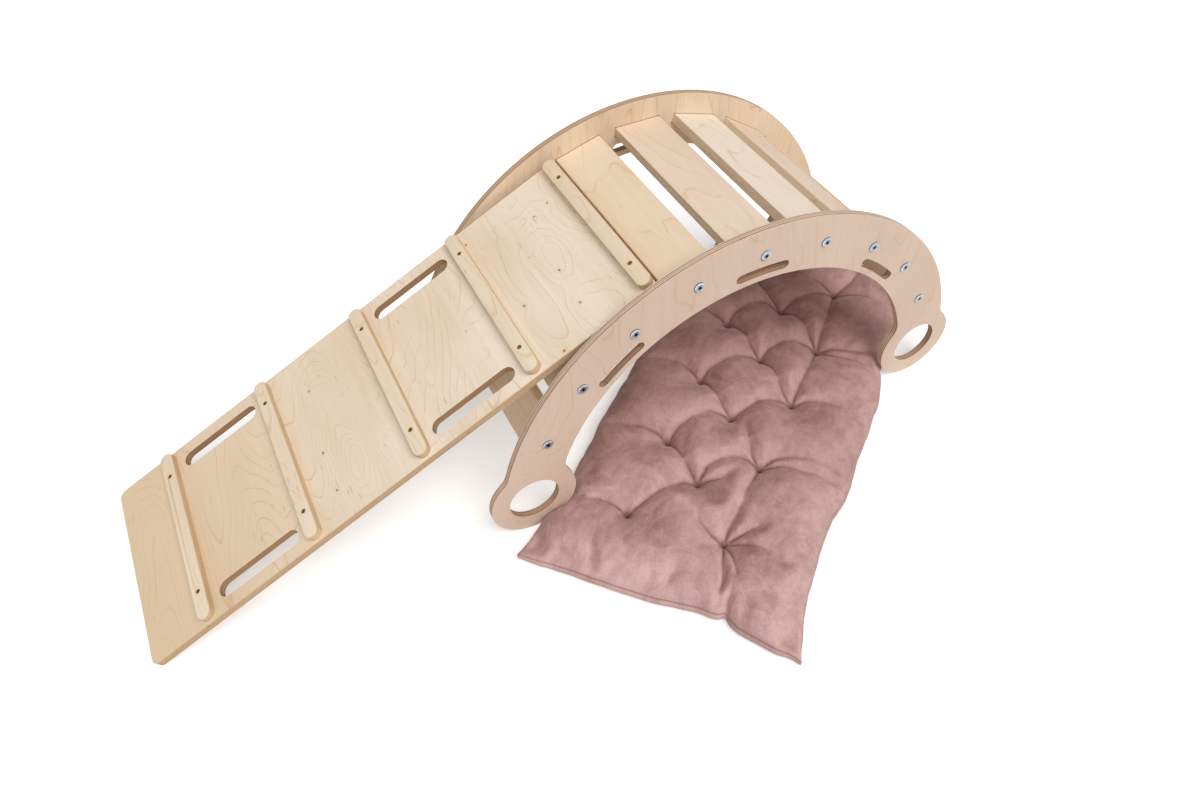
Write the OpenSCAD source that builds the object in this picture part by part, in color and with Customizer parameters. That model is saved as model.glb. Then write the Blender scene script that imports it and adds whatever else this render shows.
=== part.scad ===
// Climbing arch and rocker in birch plywood, with its climbing ramp hooked over a slat
// and a tufted floor cushion lying slantwise through the arch.
// Two ring-shaped side panels on round feet carry nine slats, each let into a shallow
// pocket at both ends and drawn up by a bolt and a barrel nut.
// Right side up it is an arch to climb; turned over it rocks on the outside of its rings.
// Millimetres, +Z up, X along the arch, the ramp on the -X side.

/* [Side panels] */
// Overall width of the arch, across the outer faces of its side panels
arch_width = 400; // [370:5:460]
// Thickness of the side panels
panel_t = 12; // [12:1:18]
// Outer radius of the ring
ring_r = 445; // [440:1:460]
// Width of the ring's band
ring_band = 95; // [90:1:104]
// Height of the ring's centre above the floor
ring_rise = 30; // [24:1:40]
// Radius of the round feet
foot_r = 74; // [70:1:80]
// How far the middle of a foot stands inside the circle of the bolts
foot_inset = 7.5; // [0:0.5:12]
// Diameter of the round hole through a foot
foot_hole_d = 86; // [60:1:100]
// Radius of the fillets where the ring runs into a foot
blend_r = 40; // [25:1:50]

/* [Slots in the ring] */
// Number of arc slots in each panel
slot_count = 3; // [1:1:3]
// Angle between neighbouring slots
slot_step = 40; // [30:1:45]
// Angle that a slot's centre line covers
slot_span = 12; // [6:0.5:16]
// Width of a slot
slot_w = 16; // [10:1:20]
// Distance of a slot's centre line from the ring's inner edge
slot_inset = 18; // [16:1:22]

/* [Slats] */
// Gap between neighbouring slats, at half their thickness
slat_gap = 27.7; // [27:0.1:32]
// Width of a slat
slat_w = 85; // [70:1:90]
// Thickness of a slat
slat_t = 18; // [15:1:21]
// Radius on the long edges of a slat
slat_edge_r = 2.5; // [1:0.5:5]
// Depth of the pocket that a slat's end stands in
slat_seat = 3; // [2:0.5:5]
// Clearance round a slat's end in its pocket
seat_clear = 0.3; // [0.2:0.1:0.6]
// Radius of the cutter's reliefs in the pocket corners
relief_r = 2; // [1.5:0.5:3]

/* [Bolts and barrel nuts] */
// Diameter of a bolt's shank
bolt_d = 6; // [5:1:6]
// Length of a bolt under its head
bolt_length = 50; // [45:1:60]
// Diameter of a bolt's flat head
bolt_head_d = 17; // [12:1:18]
// Height of a bolt's head
bolt_head_h = 2.6; // [2:0.2:4]
// Width of the hexagon socket across its flats
bolt_socket = 4; // [3:0.5:5]
// Diameter of the holes that a bolt passes through
bolt_hole_d = 7; // [6.6:0.2:8]
// Diameter of a barrel nut
nut_d = 10; // [8:1:12]
// Length of a barrel nut
nut_length = 14; // [10:1:14]
// Distance of a barrel nut's axis from the slat's end
nut_reach = 30; // [24:1:36]

/* [Ramp] */
// Length of the ramp board
ramp_length = 928; // [880:1:980]
// Width of the ramp board
ramp_width = 350; // [320:5:350]
// Thickness of the ramp board
ramp_t = 12; // [9:1:15]
// Radius of the ramp board's corners
ramp_corner_r = 12; // [5:1:25]
// Distance of the lowest rung's middle from the ramp's foot
rung_first = 110; // [80:1:130]
// Length of a rung
rung_length = 340; // [290:1:345]
// Width of a rung
rung_w = 24; // [20:1:30]
// Height of a rung
rung_h = 18; // [14:1:22]
// Distance between the two screws of a rung
screw_spacing = 240; // [200:5:270]
// Length of the hand slots
hand_slot_length = 150; // [110:5:160]
// Width of the hand slots
hand_slot_w = 28; // [22:1:32]
// Distance of a hand slot's centre line from the board's edge
hand_slot_inset = 37; // [30:1:45]
// Height of the hook rail under the ramp's top end
hook_h = 18; // [15:1:24]
// Width of the hook rail
hook_w = 24; // [20:1:25]
// Running gap between the hook rail and the slat that it catches
hook_gap = 0.3; // [0.2:0.1:1]

/* [Screws] */
// Diameter of a screw's countersunk head
screw_head_d = 8; // [7:0.5:9]
// Diameter of a screw's shank
screw_d = 4; // [3.5:0.5:4.5]
// Depth of a screw's head below the top of its rung
screw_sink = 0.6; // [0.2:0.1:1.5]
// Wood left under a screw's tip
screw_cover = 3; // [2:0.5:6]

/* [Cushion] */
// Length of the cushion from corner to corner
cushion_length = 925; // [900:5:940]
// Width of the cushion from corner to corner
cushion_width = 460; // [430:5:480]
// Height of the cushion's crown
cushion_height = 62; // [50:1:75]
// Height of the seam round the cushion
cushion_seam = 20; // [14:1:26]
// How far the long sides draw in between the corners
side_draw = 18; // [10:1:30]
// How far the short ends draw in between the corners
end_draw = 28; // [10:1:35]
// How far the underside is set in from the seam
underside_inset = 16; // [10:1:22]
// Turn of the cushion against the arch
cushion_turn = 36; // [34:0.5:38]
// Place of the middle of its near end along the arch
cushion_x = -315; // [-325:1:-310]
// Place of the middle of its near end across the arch
cushion_y = -412; // [-420:1:-405]
// Distance of the first pair of tufts from the near corners
tuft_first = 134; // [120:1:140]
// Distance between rows of tufts
tuft_pitch = 82; // [76:1:84]
// Distance of the outer tufts from the middle line
tuft_column = 82; // [70:1:95]
// Depth that a tuft is sewn down
tuft_depth = 22; // [12:1:30]
// Radius over which a tuft pulls the cover down
tuft_spread = 38; // [28:1:46]
// Least distance that the squeezed cushion keeps from a foot
squeeze_clear = 0.3; // [0.2:0.1:3]
// Height at which the feet press on the squeezed cushion
squeeze_height = 23; // [23:1:60]
// Length along the edge over which a foot squeezes the cushion
squeeze_run = 48; // [46:1:60]
// Height that the cushion swells by beside a foot
squeeze_swell = 14; // [0:1:20]

/* [Hidden] */
$fn = 96;
cut = 1;                                     // overrun of a cutter past the face it opens

birch = "#d9bb98";
birch_slat = "#e6d2b8";
birch_ramp = "#e3cba6";
birch_rung = "#ead9bf";
zinc = "#c3cbd6";
yellow_zinc = "#b89a4a";
pink_velvet = "#b4857f";

// Ring and feet
ring_inner_r = ring_r - ring_band;
bolt_circle_r = ring_r - ring_band / 2;
slot_r = ring_inner_r + slot_inset;
foot_reach = bolt_circle_r - foot_inset;
foot_angle = atan2(foot_r - ring_rise, foot_reach);
foot_distance = norm([foot_reach, foot_r - ring_rise]);
panel_faces_y = [-arch_width / 2, arch_width / 2 - panel_t];

arc_step = 0.1;                              // rounded corners and ends stop square, this short of tangent

// Slats; each has a part of its own, so their number is fixed
slat_count = 9;
slat_pitch = 2 * asin((slat_w + slat_gap) / (2 * bolt_circle_r));
slat_span = arch_width - 2 * panel_t + 2 * slat_seat;
slat_bore_depth = bolt_length - (panel_t - slat_seat) + cut;
nut_clear = 0.2;                             // the nut's hole is this much wider than the nut
thread_clear = 0.1;                          // the nut's thread bore is this much wider than the bolt
screw_play = 0.1;                            // a screw's hole is this much wider than the screw
nut_hole_depth = slat_t / 2 + nut_length / 2;

function slat_angle(i) = 90 + slat_pitch * ((slat_count + 1) / 2 - i);
function ring_point(angle, r) = [r * cos(angle), r * sin(angle) + ring_rise];

// Ramp: its underside rests on an outer edge of the slat that it hooks over, and the hook rail
// catches that slat's inner edge. The edges are round, so the seats are found from their centres
hooked_slat = 3;
hooked_angle = slat_angle(hooked_slat);
edge_offset = slat_t / 2 - slat_edge_r;
up_the_slat = (slat_w - 2 * slat_edge_r) * [sin(hooked_angle), -cos(hooked_angle)];
upper_edge = ring_point(hooked_angle, bolt_circle_r + edge_offset) + up_the_slat / 2;
inner_edge = upper_edge - 2 * edge_offset * [cos(hooked_angle), sin(hooked_angle)];
seat_r = slat_edge_r + hook_gap;
hook_face = ramp_length - hook_w;
// A ramp that is steeper than the slat rests on the slat's lower edge
function resting_edge(slope) =
    up_the_slat * [-sin(slope), cos(slope)] < 0 ? upper_edge - up_the_slat : upper_edge;
function seated_slope(guess, steps) = steps == 0 ? guess
    : let (edge = resting_edge(guess)) seated_slope(asin((edge[1] + seat_r * cos(guess))
        / (hook_face - seat_r - (inner_edge - edge) * [cos(guess), sin(guess)])), steps - 1);
first_guess = 25;
guess_steps = 6;
ramp_slope = seated_slope(first_guess, guess_steps);
outer_edge = resting_edge(ramp_slope);
ramp_foot_x = outer_edge[0] - (outer_edge[1] * cos(ramp_slope) + seat_r) / sin(ramp_slope);
rung_count = 5;                              // each rung has a part of its own
screw_y = [-screw_spacing / 2, screw_spacing / 2];
screw_length = rung_h - screw_sink + ramp_t - screw_cover;
hook_screw_length = screw_length + hook_h;
rung_pitch = (ramp_length - rung_w / 2 - rung_first) / (rung_count - 1);
function rung_x(i) = rung_first + (i - 1) * rung_pitch;
function hand_slot_x(i) = rung_x(i) + rung_pitch / 2;
hand_slot_rungs = [1, 3];                    // hand slots lie above these rungs

// Cushion, in its own frame: x from the near end, y to the left, seen from the near end
function to_cushion(p) = let (d = p - [cushion_x, cushion_y])
    [d[0] * cos(cushion_turn) + d[1] * sin(cushion_turn),
     d[1] * cos(cushion_turn) - d[0] * sin(cushion_turn)];
function from_cushion(p) =
    [cushion_x + p[0] * cos(cushion_turn) - p[1] * sin(cushion_turn),
     cushion_y + p[0] * sin(cushion_turn) + p[1] * cos(cushion_turn)];

// The inner edges of the feet that squeeze it, at the height where they press on it
foot_edge_x = foot_reach - sqrt(pow(foot_r, 2) - pow(foot_r - squeeze_height, 2));
near_left_edge = to_cushion([-foot_edge_x, panel_faces_y[0]]);
near_right_edge = to_cushion([foot_edge_x, panel_faces_y[0] + panel_t]);
far_right_edge = to_cushion([foot_edge_x, panel_faces_y[1]]);

draw_power = 4;                              // the sides run straight, then out to the corners
side_power = 4;                              // flatness of the crown from side to side
end_power = 8;                               // flatness of the crown from end to end
edge_power = 0.6;                            // fullness of the crown's edges: less is fuller
swell_spread = 1.5 * squeeze_run;
function bell(d, width) = exp(-pow(d / width, 2));
function half_width(x) = cushion_width / 2
    - side_draw * (1 - pow(abs(2 * x / cushion_length - 1), draw_power));
function dent(x, edge) = max(half_width(edge[0]) - abs(edge[1]) + squeeze_clear, 0)
    * bell(x - edge[0], squeeze_run);
function left_half(x) = half_width(x) - dent(x, near_left_edge);
function right_half(x) = half_width(x) - dent(x, near_right_edge);
function end_inset(v) = end_draw * (1 - v * v);
far_press = max(cushion_length - end_inset(2 * far_right_edge[1] / cushion_width)
    - far_right_edge[0] + squeeze_clear, 0);
function far_end(v) = cushion_length - end_inset(v)
    - far_press * bell(v * cushion_width / 2 - far_right_edge[1], squeeze_run);

// A point of the cushion's plan: t from the near end to the far end, v from right to left,
// drawn in by inset from the seam
function plan(t, v, inset) = let (
        start = end_inset(v) + inset,
        finish = far_end(v) - inset,
        x = start + t * (finish - start),
        half = (v > 0 ? left_half(x) : right_half(x)) - inset)
    [x, v * half];
tuft_rows = floor((cushion_length - tuft_first - tuft_first / 2) / tuft_pitch);
tufts = [for (i = [0 : tuft_rows]) for (side = i % 2 == 0 ? [-1, 1] : [0])
    [tuft_first + i * tuft_pitch, side * tuft_column]];
function tuft_pull(p, i = 0) = i == len(tufts) ? 0
    : bell(norm(p - tufts[i]), tuft_spread) + tuft_pull(p, i + 1);
function fullness(t, v) =
    pow((1 - pow(abs(v), side_power)) * (1 - pow(abs(2 * t - 1), end_power)), edge_power);
function swell(p) = squeeze_swell
    * (bell(norm(p - near_left_edge), swell_spread) + bell(norm(p - near_right_edge), swell_spread));
function top_height(t, v) = let (p = plan(t, v, 0))
    cushion_seam + fullness(t, v)
        * (cushion_height - cushion_seam - tuft_depth * tuft_pull(p) + swell(p));

// The whole stands with the middle of its bounding box on the floor at the origin
cushion_corners = [for (s = [0, cushion_length]) for (side = [-1, 1])
    from_cushion([s, side * cushion_width / 2])];
low_x = ramp_foot_x - ramp_t * sin(ramp_slope);
high_x = max(foot_reach + foot_r, max([for (p = cushion_corners) p[0]]));
low_y = min(-arch_width / 2 - bolt_head_h, min([for (p = cushion_corners) p[1]]));
high_y = max(arch_width / 2 + bolt_head_h, max([for (p = cushion_corners) p[1]]));
base = [-(low_x + high_x) / 2, -(low_y + high_y) / 2, 0];

// A flat profile in X and Z, set up as a plate with its faces at y and y + thickness
module upright(y, thickness) {
    translate([0, y + thickness, 0]) rotate([90, 0, 0]) linear_extrude(thickness) children();
}

// The wedge that fills the corner between the ring's edge and a foot, with the fillet cut out of
// it. reach is the distance of the fillet's centre from the ring's
module corner_fill(reach) {
    along = (pow(foot_distance, 2) + pow(reach, 2) - pow(foot_r + blend_r, 2)) / (2 * foot_distance);
    across = sqrt(pow(reach, 2) - pow(along, 2));
    centre = [along * cos(foot_angle) - across * sin(foot_angle),
        along * sin(foot_angle) + across * cos(foot_angle)];
    foot = [foot_reach, foot_r - ring_rise];
    in_foot = centre + (foot - centre) * (blend_r + foot_r / 2) / (blend_r + foot_r);
    in_band = centre * bolt_circle_r / reach;
    difference() {
        polygon(reach > ring_r ? [centre, in_band, in_foot] : [centre, in_foot, in_band]);
        translate(centre) circle(blend_r - arc_step);
    }
}

// A sector of the plane between two angles. It, the panel's outline and the panel's holes are
// all drawn about the ring's centre
sector_steps = 4;
module sector(from, to, r) {
    polygon(concat([[0, 0]], [for (k = [0 : sector_steps])
        let (a = from + (to - from) * k / sector_steps) r * [cos(a), sin(a)]]));
}

module panel_outline() {
    intersection() {
        difference() {
            circle(ring_r);
            circle(ring_inner_r);
        }
        sector(foot_angle, 180 - foot_angle, 2 * ring_r);
    }
    for (side = [0, 1]) mirror([side, 0]) {
        translate([foot_reach, foot_r - ring_rise]) circle(foot_r);
        corner_fill(ring_r + blend_r);
        corner_fill(ring_inner_r - blend_r);
    }
}

module arc_slot() {
    intersection() {
        difference() {
            circle(slot_r + slot_w / 2);
            circle(slot_r - slot_w / 2);
        }
        sector(90 - slot_span / 2, 90 + slot_span / 2, 2 * ring_r);
    }
    for (side = [-1, 1]) rotate(90 + side * slot_span / 2) translate([slot_r, 0])
        circle(slot_w / 2 - arc_step);
}

module panel_holes() {
    for (k = [0 : slot_count - 1]) rotate((k - (slot_count - 1) / 2) * slot_step) arc_slot();
    for (side = [-1, 1]) translate([side * foot_reach, foot_r - ring_rise]) circle(foot_hole_d / 2);
    for (i = [1 : slat_count]) rotate(slat_angle(i)) translate([bolt_circle_r, 0])
        circle(bolt_hole_d / 2);
}

module slat_pockets() {
    pocket_t = slat_t + 2 * seat_clear;
    pocket_w = slat_w + 2 * seat_clear;
    relief_in = relief_r / sqrt(2);
    for (i = [1 : slat_count]) rotate(slat_angle(i)) translate([bolt_circle_r, 0]) {
        square([pocket_t, pocket_w], center = true);
        for (a = [-1, 1]) for (b = [-1, 1])
            translate([a * (pocket_t / 2 - relief_in), b * (pocket_w / 2 - relief_in)]) circle(relief_r);
    }
}

// y is the panel's lower face, pocket_y the lower face of its layer of pockets
module side_panel(y, pocket_y) {
    color(birch) translate(base + [0, 0, ring_rise]) difference() {
        upright(y, panel_t) panel_outline();
        upright(y - cut, panel_t + 2 * cut) panel_holes();
        upright(pocket_y, slat_seat + cut) slat_pockets();
    }
}
module near_side_panel() {
    side_panel(panel_faces_y[0], panel_faces_y[0] + panel_t - slat_seat);
}
module far_side_panel() {
    side_panel(panel_faces_y[1], panel_faces_y[1] - cut);
}

module slat_profile() {
    edge_offset_w = slat_w / 2 - slat_edge_r;
    square([slat_t, 2 * edge_offset_w], center = true);
    square([2 * edge_offset, slat_w], center = true);
    for (a = [-1, 1]) for (b = [-1, 1])
        translate([a * edge_offset, b * edge_offset_w]) circle(slat_edge_r);
}

// Moves from the middle of the arch to the middle of a slat, X pointing outwards through it
module at_slat(i) {
    translate(base + [0, 0, ring_rise]) rotate([0, -slat_angle(i), 0])
        translate([bolt_circle_r, 0, 0]) children();
}

module slat(i) {
    color(birch_slat) at_slat(i) difference() {
        upright(-slat_span / 2, slat_span) slat_profile();
        for (end = [-1, 1]) translate([0, end * slat_span / 2, 0]) {
            rotate([end * 90, 0, 0]) translate([0, 0, -cut])
                cylinder(h = slat_bore_depth + cut, d = bolt_hole_d);
            translate([-slat_t / 2 - cut, -end * nut_reach, 0]) rotate([0, 90, 0])
                cylinder(h = nut_hole_depth + cut, d = nut_d + nut_clear);
        }
    }
}

// A flat-headed bolt along +Z from the underside of its head
socket_share = 0.8;                          // the socket's depth as a share of the head's height
bevel_share = 1 / 3;                         // the bevel's height as a share of the head's height
module bolt() {
    bevel = bolt_head_h * bevel_share;
    difference() {
        rotate_extrude() polygon([[0, -bolt_head_h], [bolt_head_d / 2 - 1.5 * bevel, -bolt_head_h],
            [bolt_head_d / 2, bevel - bolt_head_h], [bolt_head_d / 2, 0], [bolt_d / 2, 0],
            [bolt_d / 2, bolt_length], [0, bolt_length]]);
        translate([0, 0, -bolt_head_h - cut])
            cylinder(h = bolt_head_h * socket_share + cut, d = bolt_socket / cos(30), $fn = 6);
    }
}
module bolts(end) {
    color(zinc) for (i = [1 : slat_count]) at_slat(i)
        translate([0, end * arch_width / 2, 0]) rotate([end * 90, 0, 0]) bolt();
}
module near_bolts() { bolts(-1); }
module far_bolts() { bolts(1); }

module barrel_nuts(end) {
    nut_y = slat_span / 2 - nut_reach;
    color(zinc) for (i = [1 : slat_count]) at_slat(i) translate([0, end * nut_y, 0]) difference() {
        translate([-nut_length / 2, 0, 0]) rotate([0, 90, 0]) cylinder(h = nut_length, d = nut_d);
        rotate([90, 0, 0]) cylinder(h = nut_d + 2 * cut, d = bolt_d + thread_clear, center = true);
    }
}
module near_barrel_nuts() { barrel_nuts(-1); }
module far_barrel_nuts() { barrel_nuts(1); }

module slat_1() { slat(1); }
module slat_2() { slat(2); }
module slat_3() { slat(3); }
module slat_4() { slat(4); }
module slat_5() { slat(5); }
module slat_6() { slat(6); }
module slat_7() { slat(7); }
module slat_8() { slat(8); }
module slat_9() { slat(9); }

// The ramp's own frame: X up the slope from the foot, Z out of the board, 0 at its underside
module on_ramp() {
    translate(base + [ramp_foot_x, 0, 0]) rotate([0, -ramp_slope, 0]) children();
}

module round_ended(length, width) {
    square([length - width, width], center = true);
    for (side = [-1, 1]) translate([side * (length - width) / 2, 0]) circle(width / 2);
}

module ramp_board() {
    corner_x = ramp_length - ramp_corner_r;
    corner_y = ramp_width / 2 - ramp_corner_r;
    color(birch_ramp) on_ramp() difference() {
        linear_extrude(ramp_t) difference() {
            union() {
                translate([0, -corner_y]) square([ramp_length, 2 * corner_y]);
                translate([ramp_corner_r, -ramp_width / 2]) square([corner_x - ramp_corner_r, ramp_width]);
                for (x = [ramp_corner_r, corner_x]) for (side = [-1, 1])
                    translate([x, side * corner_y]) circle(ramp_corner_r);
            }
            for (i = hand_slot_rungs) for (side = [-1, 1])
                translate([hand_slot_x(i), side * (ramp_width / 2 - hand_slot_inset)])
                    round_ended(hand_slot_length, hand_slot_w);
        }
        screw_holes();
    }
}

// Screws stand head up over the middle of each rung; the top rung's go on into the hook rail
module screw(length) {
    cone = (screw_head_d - screw_d) / 2;
    translate([0, 0, -cone]) cylinder(h = cone, d1 = screw_d, d2 = screw_head_d);
    translate([0, 0, -length]) cylinder(h = length - cone, d = screw_d);
}
module screw_hole(length) {
    hole_d = screw_d + screw_play;
    mouth_d = screw_head_d + screw_play;
    cone = (screw_head_d - screw_d) / 2;
    translate([0, 0, -cone]) cylinder(h = cone, d1 = hole_d, d2 = mouth_d);
    translate([0, 0, -length]) cylinder(h = length, d = hole_d);
    cylinder(h = screw_sink + cut, d = mouth_d);
}
module at_screws(first, last) {
    for (i = [first : last]) for (y = screw_y)
        translate([rung_x(i), y, ramp_t + rung_h - screw_sink]) children();
}
module screw_holes() {
    at_screws(1, rung_count - 1) screw_hole(screw_length);
    at_screws(rung_count, rung_count) screw_hole(hook_screw_length);
}

module rung(i) {
    color(birch_rung) on_ramp() difference() {
        translate([rung_x(i), 0, ramp_t]) linear_extrude(rung_h) rotate(90)
            round_ended(rung_length, rung_w);
        at_screws(i, i) screw_hole(i == rung_count ? hook_screw_length : screw_length);
    }
}
module rung_1() { rung(1); }
module rung_2() { rung(2); }
module rung_3() { rung(3); }
module rung_4() { rung(4); }
module rung_5() { rung(5); }

module hook_rail() {
    color(birch_rung) on_ramp() difference() {
        translate([hook_face, -ramp_width / 2, -hook_h]) cube([hook_w, ramp_width, hook_h]);
        screw_holes();
    }
}
module rung_screws() {
    color(yellow_zinc) on_ramp() at_screws(1, rung_count - 1) screw(screw_length);
}
module hook_screws() {
    color(yellow_zinc) on_ramp() at_screws(rung_count, rung_count) screw(hook_screw_length);
}

// The cushion as one closed skin: a grid of points on top, a seam round it, and an underside
// that stands in from the seam and lies on the floor, filled from a spine of points
cushion_rows = 40;
cushion_columns = 22;
spine_end = 8;                               // rows between the spine's ends and the cushion's
module cushion() {
    rows = cushion_rows;
    columns = cushion_columns;
    stride = columns + 1;
    top = [for (i = [0 : rows]) for (j = [0 : columns])
        let (t = i / rows, v = 2 * j / columns - 1, p = plan(t, v, 0)) [p[0], p[1], top_height(t, v)]];
    rim = concat([for (j = [0 : columns]) [0, j]], [for (i = [1 : rows]) [i, columns]],
        [for (j = [columns - 1 : -1 : 0]) [rows, j]], [for (i = [rows - 1 : -1 : 1]) [i, 0]]);
    under = [for (k = rim) let (p = plan(k[0] / rows, 2 * k[1] / columns - 1, underside_inset))
        [p[0], p[1], 0]];
    spine = [for (i = [spine_end : rows - spine_end]) let (p = plan(i / rows, 0, 0)) [p[0], p[1], 0]];
    first = len(top);
    count = len(rim);
    top_faces = [for (i = [0 : rows - 1]) for (j = [0 : columns - 1]) let (a = i * stride + j)
        each [[a, a + 1, a + stride + 1], [a, a + stride + 1, a + stride]]];
    side_faces = [for (k = [0 : count - 1]) let (n = (k + 1) % count,
            a = rim[k][0] * stride + rim[k][1], b = rim[n][0] * stride + rim[n][1])
        each [[a, first + k, first + n], [a, first + n, b]]];
    under_faces = [for (k = [0 : count - 1]) let (n = (k + 1) % count,
            a = first + count + spine_step(rim[k][0]), b = first + count + spine_step(rim[n][0]))
        each a == b ? [[first + k, a, first + n]] : [[first + k, a, b], [first + k, b, first + n]]];
    color(pink_velvet) translate(base + [cushion_x, cushion_y, 0]) rotate(cushion_turn)
        polyhedron(points = concat(top, under, spine), faces = concat(top_faces, side_faces, under_faces));
}
function spine_step(i) = min(max(i, spine_end), cushion_rows - spine_end) - spine_end;

near_side_panel();
far_side_panel();
slat_1();
slat_2();
slat_3();
slat_4();
slat_5();
slat_6();
slat_7();
slat_8();
slat_9();
near_bolts();
far_bolts();
near_barrel_nuts();
far_barrel_nuts();
ramp_board();
rung_1();
rung_2();
rung_3();
rung_4();
rung_5();
hook_rail();
rung_screws();
hook_screws();
cushion();
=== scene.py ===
# %% [markdown]
# # A climbing arch in birch plywood, with its ramp and a tufted cushion
# The imported model is loaded first and stays as it is: two ring-shaped panels, nine slats, a ramp with
# five rungs, bolts and screws. Every object is in metres and sits at the origin, with its place in its
# mesh, so a finish can read places straight from Object coordinates.

# %% The imported model as a fixed frame
import math

import bmesh
import bpy
import numpy as np
from mathutils import Matrix, Vector


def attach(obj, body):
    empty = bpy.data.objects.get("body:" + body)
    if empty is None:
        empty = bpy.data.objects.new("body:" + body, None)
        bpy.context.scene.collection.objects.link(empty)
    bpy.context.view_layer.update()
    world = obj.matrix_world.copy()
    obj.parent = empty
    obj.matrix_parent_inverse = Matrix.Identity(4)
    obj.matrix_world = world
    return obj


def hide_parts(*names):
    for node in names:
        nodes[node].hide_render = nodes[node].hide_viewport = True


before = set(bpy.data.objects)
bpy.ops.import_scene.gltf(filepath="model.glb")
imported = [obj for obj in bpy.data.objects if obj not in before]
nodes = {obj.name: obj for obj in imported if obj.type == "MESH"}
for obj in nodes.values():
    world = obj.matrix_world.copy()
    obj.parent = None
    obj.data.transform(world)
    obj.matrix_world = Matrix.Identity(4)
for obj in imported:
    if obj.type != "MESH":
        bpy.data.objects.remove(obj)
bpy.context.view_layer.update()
scene = bpy.context.scene


# %% [markdown]
# ## Where the camera stands
# A photograph taken close to a large object has strong perspective, so the lens matters as much as the
# place. Both were worked out from the ring's edges, the feet, the bolts and the slats: the camera stands in
# front of the ramp, 1.26 m up, and looks down by 48 degrees through a wide lens.

# %% Camera
def stand(name, data):
    """A new object in the scene for a mesh, a light or a camera."""
    made = bpy.data.objects.new(name, data)
    scene.collection.objects.link(made)
    return made


LOOK_DOWN, LOOK_RIGHT = 0.8428, 0.4773
camera = stand("camera", bpy.data.cameras.new("camera"))
camera.location = (-0.4642, -0.86095, 1.2606)
camera.rotation_euler = (math.pi / 2 - LOOK_DOWN, 0, -LOOK_RIGHT)
camera.data.lens = 26.94
camera.data.shift_x = -0.003
scene.camera = camera
print("camera at", tuple(camera.location), "lens", camera.data.lens, "mm")

# %% [markdown]
# ## A shorthand for shader nodes
# A material is a net of nodes, and writing each node and each link by hand hides the idea behind it. Two
# small classes help: a Wire stands for one value that runs through the net, and Python's operators on it
# add Math nodes; a Finish is one material's net, or the world's, and its node method adds any other node.

# %% Wires and finishes
def operator(kind, swapped=False):
    """A method of a wire that adds a Math node of that kind, for it and another value or the two swapped."""
    def method(self, other=0.0):
        first, second = (other, self) if swapped else (self, other)
        return self.finish.node("Math", {"operation": kind}, {0: first, 1: second})
    return method


class Wire:
    """One output of a node. a + b, 1 - a, a.sine() and so on add a Math node and give its output."""

    def __init__(self, finish, socket):
        self.finish, self.socket = finish, socket

    __add__ = __radd__ = operator("ADD")
    __mul__ = __rmul__ = operator("MULTIPLY")
    __sub__, __rsub__ = operator("SUBTRACT"), operator("SUBTRACT", swapped=True)
    __truediv__, __rtruediv__ = operator("DIVIDE"), operator("DIVIDE", swapped=True)
    __mod__, __pow__, __abs__ = operator("FLOORED_MODULO"), operator("POWER"), operator("ABSOLUTE")
    sine, cosine, floor = operator("SINE"), operator("COSINE"), operator("FLOOR")
    larger, angle_from = operator("MAXIMUM"), operator("ARCTAN2")

    def step(self, low, high):
        """0 below low, 1 above high and a smooth rise between them; with low > high it falls."""
        return self.finish.node("MapRange", {"interpolation_type": "SMOOTHSTEP"},
                                {"Value": self, "From Min": low, "From Max": high})


class Finish:
    """One material, or the world. node() adds a node of a type with its settings, then values or links."""

    def __init__(self, name, owner=None):
        self.owner = owner or bpy.data.materials.new(name)
        self.owner.use_nodes = True
        self.tree = self.owner.node_tree
        self.tree.nodes.clear()

    def node(self, kind, settings=None, inputs=None, out=0):
        node = self.tree.nodes.new("ShaderNode" + kind)
        for name, value in (settings or {}).items():
            setattr(node, name, value)
        for name, value in (inputs or {}).items():
            if isinstance(value, Wire):
                self.tree.links.new(value.socket, node.inputs[name])
            else:
                node.inputs[name].default_value = value
        return Wire(self, node.outputs[out])

    def mix(self, share, first, second, blend="MIX"):
        """A colour that runs from first to second as share runs from 0 to 1."""
        settings = {"data_type": "RGBA", "blend_type": blend}
        return self.node("Mix", settings, {0: share, 6: first, 7: second}, 2)

    def stretch(self, place, scale, shift=(0, 0, 0)):
        return self.node("Mapping", {}, {"Vector": place, "Scale": scale, "Location": shift})

    def noise(self, place, scale=1.0, detail=2.0, roughness=0.5, distortion=0.0):
        return self.node("TexNoise", {}, {"Vector": place, "Scale": scale, "Detail": detail,
                                          "Roughness": roughness, "Distortion": distortion})

    def bump(self, height, strength, distance):
        return self.node("Bump", {}, {"Strength": strength, "Distance": distance, "Height": height})

    def split(self, vector):
        xyz = self.node("SeparateXYZ", {}, {"Vector": vector})
        return [Wire(self, socket) for socket in xyz.socket.node.outputs]

    def join(self, x, y, z=0.0):
        return self.node("CombineXYZ", {}, {"X": x, "Y": y, "Z": z})

    def distance(self, first, second=(0, 0, 0)):
        return self.node("VectorMath", {"operation": "DISTANCE"}, {0: first, 1: second}, "Value")

    def end(self, result, kind="Material"):
        """Links the last wire to the net's output and gives what the net belongs to."""
        output = self.tree.nodes.new("ShaderNodeOutput" + kind)
        self.tree.links.new(result.socket, output.inputs["Surface"])
        return self.owner

    def surface(self, constants, varying):
        """Ends the net in a Principled shader: constants are set on it, and varying values are linked."""
        return self.end(self.node("BsdfPrincipled", {}, {**constants, **varying}))


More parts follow.
